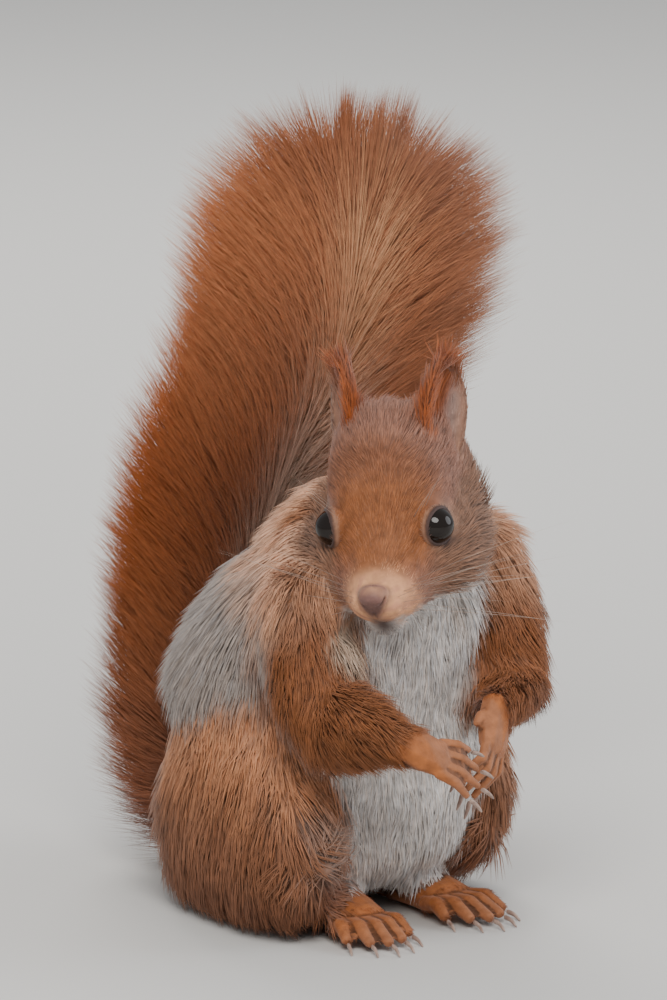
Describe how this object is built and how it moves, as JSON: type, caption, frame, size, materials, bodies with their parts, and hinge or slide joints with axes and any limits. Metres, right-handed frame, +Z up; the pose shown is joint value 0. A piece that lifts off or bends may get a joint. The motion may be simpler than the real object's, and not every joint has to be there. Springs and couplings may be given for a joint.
{
  "type": "red squirrel",
  "caption": "Life-size still model of a red squirrel sitting up on its hind feet, hands held before the chest, bushy tail raised behind the back.",
  "frame": {"origin": "on the floor, under the middle of the whole animal's box", "axes": "+Z up; the hips face -Y and the animal's right side is -X"},
  "size_m": [0.1049, 0.1524, 0.1876],
  "materials": {
    "fur_body": "grey-brown winter flank fur, soft and matt, with a white chest and belly",
    "fur_head": "short red-brown fur, matt",
    "fur_tail": "long orange-red hair, soft",
    "fur_limb": "orange-brown fur, matt",
    "fur_foot": "very short orange-buff fur",
    "fur_ear": "thin ear with short red hair and a soft tuft",
    "nose_pad": "bare dusky pink skin, slightly moist",
    "eye": "wet, nearly black",
    "claw": "horn, dusky, semi-gloss"
  },
  "bodies": {
    "root": {"claw_foot_left_1": "claw", "claw_foot_left_2": "claw", "claw_foot_left_3": "claw", "claw_foot_left_4": "claw", "claw_foot_left_5": "claw", "claw_foot_right_1": "claw", "claw_foot_right_2": "claw", "claw_foot_right_3": "claw", "claw_foot_right_4": "claw", "claw_foot_right_5": "claw", "claw_hand_left_1": "claw", "claw_hand_left_2": "claw", "claw_hand_left_3": "claw", "claw_hand_left_4": "claw", "claw_hand_right_1": "claw", "claw_hand_right_2": "claw", "claw_hand_right_3": "claw", "claw_hand_right_4": "claw", "ear_left": "fur_ear", "ear_right": "fur_ear", "eye_left": "eye", "eye_right": "eye", "foot_left": "fur_foot", "foot_right": "fur_foot", "forearm_left": "fur_limb", "forearm_right": "fur_limb", "hand_left": "fur_foot", "hand_right": "fur_foot", "head": "fur_head", "neck": "fur_head", "nose": "nose_pad", "shank_left": "fur_limb", "shank_right": "fur_limb", "tail_lower": "fur_tail", "tail_middle": "fur_tail", "tail_plume": "fur_tail", "tail_root": "fur_tail", "thigh_left": "fur_limb", "thigh_right": "fur_limb", "torso": "fur_body", "upper_arm_left": "fur_limb", "upper_arm_right": "fur_limb"}
  },
  "joints": []
}
